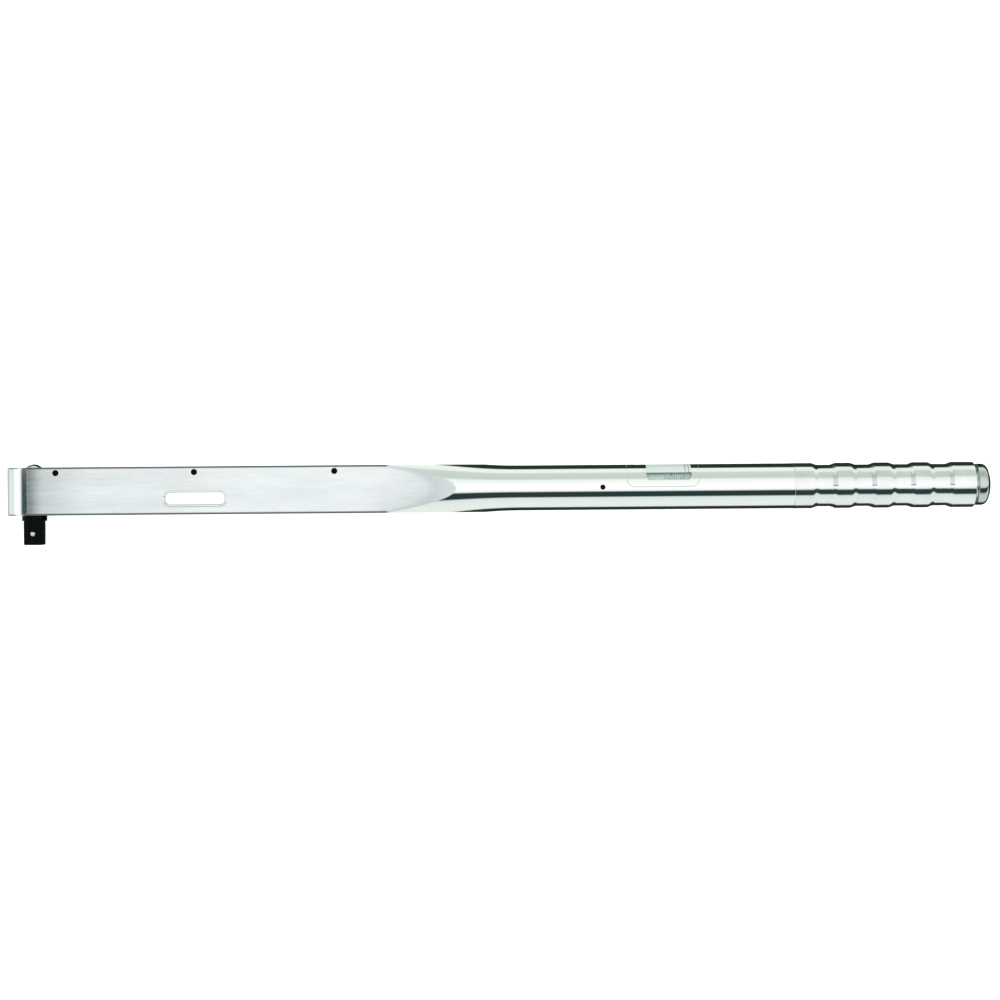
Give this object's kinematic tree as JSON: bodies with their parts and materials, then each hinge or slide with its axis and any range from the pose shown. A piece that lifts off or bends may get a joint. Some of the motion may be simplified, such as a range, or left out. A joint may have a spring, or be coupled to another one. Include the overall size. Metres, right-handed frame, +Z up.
{
  "type": "torque wrench",
  "caption": "Click torque wrench with a long rectangular ratchet head, square drive, scale window and grooved round grip.",
  "frame": {"origin": "on the drive axis, at the wrench's centreline", "axes": "+X along the wrench from the square drive to the handle, -Y the way the square drive points, +Z up: the wrench lies on its side, on the head's lower flat"},
  "size_m": [1.0312, 0.0849, 0.0557],
  "materials": {
    "brushed_aluminium": "brushed along the length, polished on the round tube",
    "cover_aluminium": "brushed",
    "grip_aluminium": "polished",
    "cap_aluminium": "satin turned",
    "chrome": "polished",
    "black_steel": "black oxide",
    "tool_steel": "ground",
    "spring_steel": "drawn wire",
    "bronze": "turned bronze",
    "white_plate": "satin white, blank",
    "scale_face": "anodised",
    "clear_lens": "clear moulded",
    "nitrile": "moulded"
  },
  "bodies": {
    "housing": {"housing": "brushed_aluminium", "cover_strip": "cover_aluminium", "cover_set_screws": "black_steel", "lower_bush": "bronze", "upper_bush": "bronze", "nameplate": "white_plate", "window_bezel": "brushed_aluminium", "bezel_screw": "tool_steel", "lens": "clear_lens", "guide_screw": "black_steel", "grip_sleeve": "grip_aluminium", "rear_thrust_washer": "tool_steel", "bearing_block": "tool_steel", "retaining_ring": "spring_steel", "rear_bush": "bronze"},
    "lever": {"lever": "tool_steel", "lever_cap": "tool_steel", "cap_screws": "black_steel", "pawl_spring": "spring_steel"},
    "pawl": {"pawl": "tool_steel"},
    "wheel": {"ratchet_wheel": "tool_steel"},
    "drive": {"drive_square": "black_steel", "button_spring": "spring_steel"},
    "button": {"release_button": "chrome"},
    "ball": {"detent_ball": "chrome"},
    "tilt_block": {"tilt_block": "tool_steel"},
    "plunger": {"plunger": "tool_steel", "main_spring": "spring_steel"},
    "spindle": {"spindle": "tool_steel", "front_thrust_washer": "tool_steel"},
    "setting": {"setting_nut": "tool_steel", "scale_carrier": "scale_face"},
    "cage": {"thrust_balls": "chrome", "ball_cage": "bronze"},
    "cap": {"end_cap": "cap_aluminium", "cap_o_ring": "nitrile"}
  },
  "joints": [
    {"name": "lever_click", "type": "hinge", "parent": "housing", "child": "lever", "pos_m": [0, 0, 0], "axis": [0, 1, 0], "range_deg": [0, 0.45], "stiffness_Nm_per_rad": 2000, "springref_deg": -0.57},
    {"name": "pawl_slide", "type": "slide", "parent": "lever", "child": "pawl", "axis": [1, 0, 0], "range_m": [0, 0.0018], "stiffness_N_per_m": 1000, "springref_m": -0.003, "deforming": ["pawl_spring"]},
    {"name": "drive_spin", "type": "hinge", "parent": "lever", "child": "wheel", "pos_m": [0, 0, 0], "axis": [0, 1, 0], "continuous": true},
    {"name": "drive_pull", "type": "slide", "parent": "wheel", "child": "drive", "axis": [0, -1, 0], "range_m": [0, 0.058]},
    {"name": "button_press", "type": "slide", "parent": "drive", "child": "button", "axis": [0, -1, 0], "range_m": [0, 0.004], "stiffness_N_per_m": 800, "springref_m": -0.004, "deforming": ["button_spring"]},
    {"name": "ball_retract", "type": "slide", "parent": "drive", "child": "ball", "axis": [0, 0, -1], "range_m": [0, 0.00121]},
    {"name": "block_tilt", "type": "hinge", "parent": "lever", "child": "tilt_block", "pos_m": [0.4182, 0, 0.006], "axis": [0, 1, 0], "range_deg": [-14.5, 0]},
    {"name": "plunger_slide", "type": "slide", "parent": "housing", "child": "plunger", "axis": [1, 0, 0], "range_m": [0, 0.0028], "deforming": ["main_spring"]},
    {"name": "setting_slide", "type": "slide", "parent": "housing", "child": "setting", "axis": [-1, 0, 0], "range_m": [0, 0.03], "deforming": ["main_spring"]},
    {"name": "spindle_turn", "type": "hinge", "parent": "housing", "child": "spindle", "pos_m": [0.9, 0, 0], "axis": [-1, 0, 0], "range_deg": [0, 3601]},
    {"name": "cage_turn", "type": "hinge", "parent": "housing", "child": "cage", "pos_m": [0.745, 0, 0], "axis": [-1, 0, 0], "range_deg": [0, 1801]},
    {"name": "cap_pull", "type": "slide", "parent": "housing", "child": "cap", "axis": [1, 0, 0], "range_m": [0, 0.03]}
  ],
  "couplings": [
    {"joint": "block_tilt", "follows": "lever_click", "ratio": -32},
    {"joint": "plunger_slide", "follows": "lever_click", "m_per_rad": 0.34377},
    {"joint": "ball_retract", "follows": "button_press", "ratio": 0.3},
    {"joint": "spindle_turn", "follows": "setting_slide", "rad_per_m": 2094.4},
    {"joint": "cage_turn", "follows": "setting_slide", "rad_per_m": 1047.2}
  ]
}
